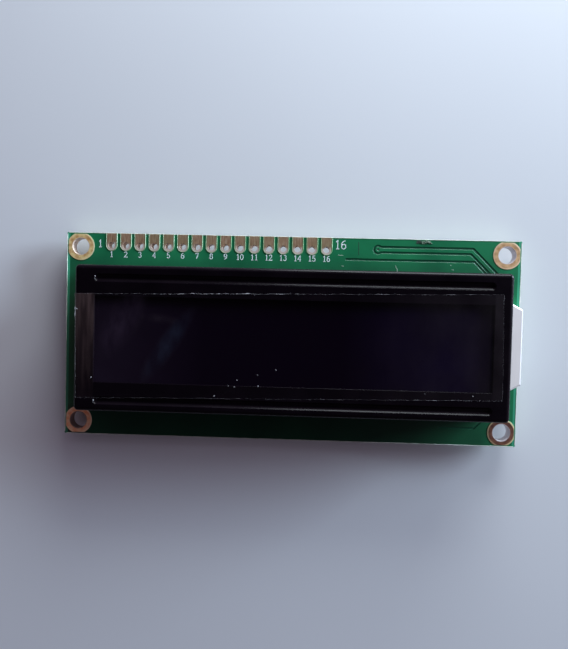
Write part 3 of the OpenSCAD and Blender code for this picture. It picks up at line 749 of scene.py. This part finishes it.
def traces_to_vias(maker, names):
    """From these pads down to a small ring each."""
    for name in names:
        low, high = box_of(name)
        x = middle_x(low, high)
        via_y = low.y - 3.0 * MM
        rear_trace(maker, (x, low.y - 0.15 * MM), (x, via_y + 0.45 * MM))
        ring = arc(x, via_y, 0.35 * MM, 0.35 * MM, 0, 330, 11)
        ridge(maker, ring, REAR_Z, 0.10 * MM, TRACE_HEIGHT, closed=True, up=-1)


def traces_between_domes(maker, count):
    cx, cy, r = dome_circle("controller_dome", 0.70 * MM)
    dx, dy, dr = dome_circle("driver_dome", 0.70 * MM)
    for index in range(count):
        y = cy + (index - count // 2) * 0.65 * MM
        rear_trace(maker, (cx + half_chord(r, y - cy), y), (dx - half_chord(dr, y - dy), y))


def traces_to_resistors(maker, count):
    """From the driver's dome to the bias resistors, the lowest one first."""
    dx, dy, dr = dome_circle("driver_dome", 0.70 * MM)
    for index in range(count):
        low, high = box_of("bias_resistor_%d" % (count - index))
        end_x, end_y = low.x - 0.75 * MM, middle_y(low, high)
        y = end_y - 0.78 * index * MM
        start = (dx + half_chord(dr, y - dy), y)
        bend_x = end_x - 0.2 * MM
        rear_trace(maker, start, (bend_x - abs(end_y - y), y), (bend_x, end_y), (end_x, end_y))


def rear_traces():
    """Copper under the mask of the rear face."""
    maker = bmesh.new()
    traces_to_controller(maker, PADS[3:9])
    traces_to_vias(maker, PADS[11:15])
    traces_between_domes(maker, 13)
    traces_to_resistors(maker, 5)
    return add_piece("rear_traces", maker, TRACE)


# ---------- peel-off film ----------

def film_corners():
    """The lower left, lower right, upper right and upper left corner of the film."""
    points = [v.co.copy() for v in NODES["protective_film"].data.vertices]
    return (min(points, key=lambda p: p.x + p.y), max(points, key=lambda p: p.x - p.y),
            max(points, key=lambda p: p.x + p.y), min(points, key=lambda p: p.x - p.y))


def film_sheet():
    """The film as a fine grid, gently wavy, with a ragged upper edge that stands up a little."""
    low_left, low_right, high_right, high_left = film_corners()
    columns, rows = 240, 40
    maker = bmesh.new()
    grid = []
    for j in range(rows + 1):
        v = j / rows
        edge = max(0.0, (v - 0.96) / 0.04)
        line = []
        for i in range(columns + 1):
            u = i / columns
            p = low_left.lerp(high_left, v).lerp(low_right.lerp(high_right, v), u)
            fine = noise.noise(Vector((u * 60, 3.1, 0.5)))
            broad = noise.noise(Vector((u * 14, 7.7, 0.5)))
            wave = 0.5 + 0.5 * noise.noise(Vector((u * 6, v * 2.5, 1.7)))
            lift = 0.03 * wave + 0.03 * edge * (0.5 + fine)
            p.y += edge * (0.10 * fine + 0.08 * broad) * MM
            line.append(maker.verts.new((p.x, p.y, FILM_Z + lift * MM)))
        grid.append(line)
    for j in range(rows):
        for i in range(columns):
            maker.faces.new((grid[j][i], grid[j][i + 1], grid[j + 1][i + 1], grid[j + 1][i]))
    piece = add_piece("film_sheet", maker, FILM, smooth=True)
    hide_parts("protective_film")
    return piece


def film_rim(name, start, end, seed, base, peaks):
    """A thin broken ridge along one edge of the film, thicker at peaks (place, width, size), where it
    paints glints.
    """
    count = max(12, int((end - start).length / (0.3 * MM)))
    along = (end - start).normalized()
    across = Vector((-along.y, along.x, 0))

    def strength(k):
        t = k / count
        ragged = 0.45 + 1.1 * noise.noise(Vector((k / 2.3, seed, 4.4)))
        raised = sum(size * math.exp(-((t - place) / width) ** 2) for place, width, size in peaks)
        return max(0.01, (base + raised) * max(0.05, ragged))

    def half(k):
        return (0.002 + 0.085 * strength(k)) * MM

    def height(k):
        return (0.002 + 0.080 * strength(k)) * MM

    points = []
    for k in range(count + 1):
        sway = noise.noise(Vector((k / 4, seed, 0.3))) * 0.10 * MM
        points.append((start.lerp(end, k / count) + across * sway).to_2d())
    maker = bmesh.new()
    ridge(maker, points, FILM_Z, half, height, shoulder=0.4)
    return add_piece(name, maker, FILM_EDGE)


def film_rims():
    """The four rims; the upper one is torn most and holds the most painted glints."""
    low_left, low_right, high_right, high_left = film_corners()
    # Peaks of the upper rim paint glints where the torn edge catches the light.
    torn = [(0.20, 0.03, 0.15), (0.26, 0.02, 0.9), (0.33, 0.03, 0.8), (0.40, 0.02, 0.9),
            (0.47, 0.02, 0.5), (0.53, 0.01, 0.6), (0.585, 0.005, 1.6), (0.72, 0.02, 0.25),
            (0.88, 0.012, 0.25)]
    lower = [(0.62, 0.05, 0.03), (0.84, 0.09, 0.13)]
    right = [(0.06, 0.04, 0.15), (0.96, 0.03, 0.15)]
    film_rim("film_rim_upper", high_left, high_right, 1.3, 0.05, torn)
    film_rim("film_rim_lower", low_left, low_right, 5.9, 0.006, lower)
    # The peak on the left rim paints a glint.
    film_rim("film_rim_left", low_left, high_left, 8.2, 0.03, [(0.82, 0.04, 0.9)])
    film_rim("film_rim_right", low_right, high_right, 2.8, 0.01, right)


def specks():
    """Dust and small bubbles under the film, most of them along its lower edge; the last place paints a
    glint at the film's left edge.
    """
    # The last place, at the film's left edge, is a painted glint.
    places = points_mm((-8.3, -6.6), (-5.0, -5.7), (-4.8, -7.5), (-8.7, -7.7), (-2.0, -4.8),
                       (-9.7, -7.6), (-12.0, -9.3), (22.2, -8.0), (29.9, -8.1), (-32.4, -6.8),
                       (26.0, 12.1), (-34.9, 4.4))
    maker = bmesh.new()
    for index, (x, y) in enumerate(places):
        turn = 2.2 * index
        reach = (0.09 + 0.07 * abs(noise.noise(Vector((index * 1.7, 0.3, 0.9))))) * MM
        dx, dy = reach * math.cos(turn), reach * math.sin(turn)
        points = [(x - dx, y - dy), (x + 0.3 * dy, y - 0.3 * dx), (x + dx, y + dy)]
        ridge(maker, points, BEZEL_HIGH.z + 0.03 * MM, 0.05 * MM, 0.07 * MM)
    return add_piece("film_specks", maker, FILM_EDGE)


def paint_chips():
    """Painted glints: a tiny bright dot at the left end of each pressed bead, where a highlight sits."""
    maker = bmesh.new()
    for x, y in ((-31.96, 9.80), (-31.97, -10.60)):
        points = points_mm((x - 0.03, y), (x + 0.03, y + 0.02))
        ridge(maker, points, BEZEL_HIGH.z, 0.10 * MM, 0.05 * MM)
    return add_piece("paint_chips", maker, GLINT)


# ---------- marks on the board ----------

def edge_scar():
    """A chip at the upper edge: pale torn fibres, with a painted shadow to their left."""
    pale = bmesh.new()
    for k in range(15):
        turn = 1.9 + 1.3 * noise.noise(Vector((k * 0.9, 2.2, 0.1)))
        x = (22.75 + 1.5 * k / 14) * MM
        y = (17.45 + 0.45 * noise.noise(Vector((k * 1.3, 6.1, 0.4)))) * MM
        reach = (0.18 + 0.14 * abs(noise.noise(Vector((k * 0.7, 9.3, 0.2))))) * MM
        height = (0.08 + 0.18 * abs(noise.noise(Vector((k * 1.1, 4.4, 0.6))))) * MM
        dx, dy = reach * math.cos(turn), reach * math.sin(turn)
        points = [(x - dx, y - dy), (x, y + 0.2 * dx), (x + dx, y + dy)]
        ridge(pale, points, FRONT_Z, 0.055 * MM, height)
    add_piece("edge_scar_fibres", pale, TORN)
    # Painted shadow of the raised fibres, to their left.
    dark = bmesh.new()
    for k in range(4):
        y = 17.25 + 0.13 * k
        shift = 0.12 * noise.noise(Vector((k * 1.9, 3.3, 0.8)))
        points = points_mm((21.75 + shift, y), (22.2, y + 0.05), (22.62 - shift, y))
        ridge(dark, points, FRONT_Z, 0.085 * MM, 0.03 * MM)
    return add_piece("edge_scar_shadow", dark, STAIN_AND_SHADOW)


def scratches():
    """Small marks in the mask between the terminal row and the right end."""
    pale = bmesh.new()
    for line in (((18.20, 13.35), (18.28, 13.00), (18.50, 12.75), (18.56, 12.31)),
                 ((27.72, 13.60), (27.88, 13.52)),
                 ((28.22, 12.80), (28.34, 12.72)),
                 ((8.14, 14.92), (8.60, 14.86), (9.07, 14.90)),
                 ((8.80, 13.02), (9.20, 12.98))):
        ridge(pale, points_mm(*line), FRONT_Z, 0.045 * MM, 0.02 * MM)
    add_piece("pale_scratches", pale, TORN)
    dark = bmesh.new()
    for line in (((11.69, 17.28), (11.74, 16.10), (11.75, 14.95)),
                 ((11.66, 16.05), (11.82, 15.98))):
        ridge(dark, points_mm(*line), FRONT_Z, 0.05 * MM, 0.008 * MM)
    return add_piece("dark_scratches", dark, STAIN_AND_SHADOW)


# ---------- light, floor and camera ----------

def soft_floor():
    """A wide pale floor under the module."""
    maker = bmesh.new()
    bmesh.ops.create_grid(maker, x_segments=2, y_segments=2, size=1.6)
    mesh = bpy.data.meshes.new("floor")
    maker.to_mesh(mesh)
    maker.free()
    floor = bpy.data.objects.new("floor", mesh)
    floor.location.z = FLOOR_Z
    bpy.context.scene.collection.objects.link(floor)
    s = Shader("floor").put(Roughness=0.7, Specular_IOR_Level=0.2)
    s.link(s.ramp(s.noise(60, 2), (0.3, (0.71, 0.74, 0.77)), (0.7, (0.73, 0.76, 0.79))), "Base Color")
    mesh.materials.append(s.material)


def area_light(name, azimuth, elevation, distance, width, height, power, colour):
    """A soft lamp that shines on the middle of the module."""
    lamp = bpy.data.lights.new(name, "AREA")
    lamp.shape = "RECTANGLE"
    lamp.size = width
    lamp.size_y = height
    lamp.energy = power
    lamp.color = colour
    holder = bpy.data.objects.new(name, lamp)
    a, e = math.radians(azimuth), math.radians(elevation)
    direction = Vector((math.cos(a) * math.cos(e), math.sin(a) * math.cos(e), math.sin(e)))
    holder.location = direction * distance
    holder.rotation_euler = direction.to_track_quat("Z", "Y").to_euler()
    bpy.context.scene.collection.objects.link(holder)


def soft_world(colour, strength, window_azimuth):
    """A dim room: lighter towards the window, dark behind and overhead, where the camera is."""
    world = bpy.data.worlds.new("studio")
    world.use_nodes = True
    nodes, links = world.node_tree.nodes, world.node_tree.links
    background = nodes["Background"]
    background.inputs["Strength"].default_value = strength
    coord = nodes.new("ShaderNodeTexCoord")
    split = nodes.new("ShaderNodeSeparateXYZ")
    toward = nodes.new("ShaderNodeVectorMath")
    toward.operation = "DOT_PRODUCT"
    a = math.radians(window_azimuth)
    toward.inputs[1].default_value = (math.cos(a), math.sin(a), 0)
    side = nodes.new("ShaderNodeMapRange")
    side.inputs["From Min"].default_value = -0.35
    side.inputs["From Max"].default_value = 0.55
    side.inputs["To Min"].default_value = 0.16
    ramp = nodes.new("ShaderNodeValToRGB")
    level = nodes.new("ShaderNodeVectorMath")
    level.operation = "SCALE"
    links.new(coord.outputs["Generated"], split.inputs["Vector"])
    links.new(coord.outputs["Generated"], toward.inputs[0])
    links.new(toward.outputs["Value"], side.inputs["Value"])
    links.new(split.outputs["Z"], ramp.inputs["Fac"])
    links.new(ramp.outputs["Color"], level.inputs["Vector"])
    links.new(side.outputs["Result"], level.inputs["Scale"])
    links.new(level.outputs["Vector"], background.inputs["Color"])
    # Share of the light by height: 1 is straight above
    stops = ((0.30, 1.0), (0.75, 1.0), (0.87, 0.40), (0.93, 0.12), (0.965, 0.04), (1.0, 0.02))
    elements = ramp.color_ramp.elements
    while len(elements) < len(stops):
        elements.new(0.5)
    for element, (position, share) in zip(elements, stops):
        element.position = position
        element.color = (*(c * share for c in colour), 1)
    bpy.context.scene.world = world


def photo_camera():
    """Straight above the module, a little above its middle, turned to the picture's angle."""
    camera = bpy.data.cameras.new("camera")
    camera.lens = 27.46
    camera.sensor_width = 36
    camera.clip_start = 0.005
    holder = bpy.data.objects.new("camera", camera)
    holder.location = (1.31 * MM, 4.60 * MM, 88.96 * MM)
    holder.rotation_euler = [math.radians(a) for a in (-1.341, 1.573, 1.432)]
    bpy.context.scene.collection.objects.link(holder)
    bpy.context.scene.camera = holder


# ---------- the scene ----------

dress_all()
dress_lands()
printed_numbers()
pad_rims()
cut_edges()
rear_print()
rear_traces()
film_sheet()
film_rims()
specks()
paint_chips()
edge_scar()
scratches()
soft_floor()
area_light("window_upper", 74, 11, 0.221, 0.140, 0.116, 0.74, (0.862, 0.938, 1.0))
area_light("window_right", 23, 9.5, 0.688, 0.300, 0.213, 9.9, (0.684, 0.838, 1.0))
soft_world((0.95, 0.76, 1.0), 0.38, 40)
photo_camera()
bpy.context.scene.view_settings.view_transform = "Standard"
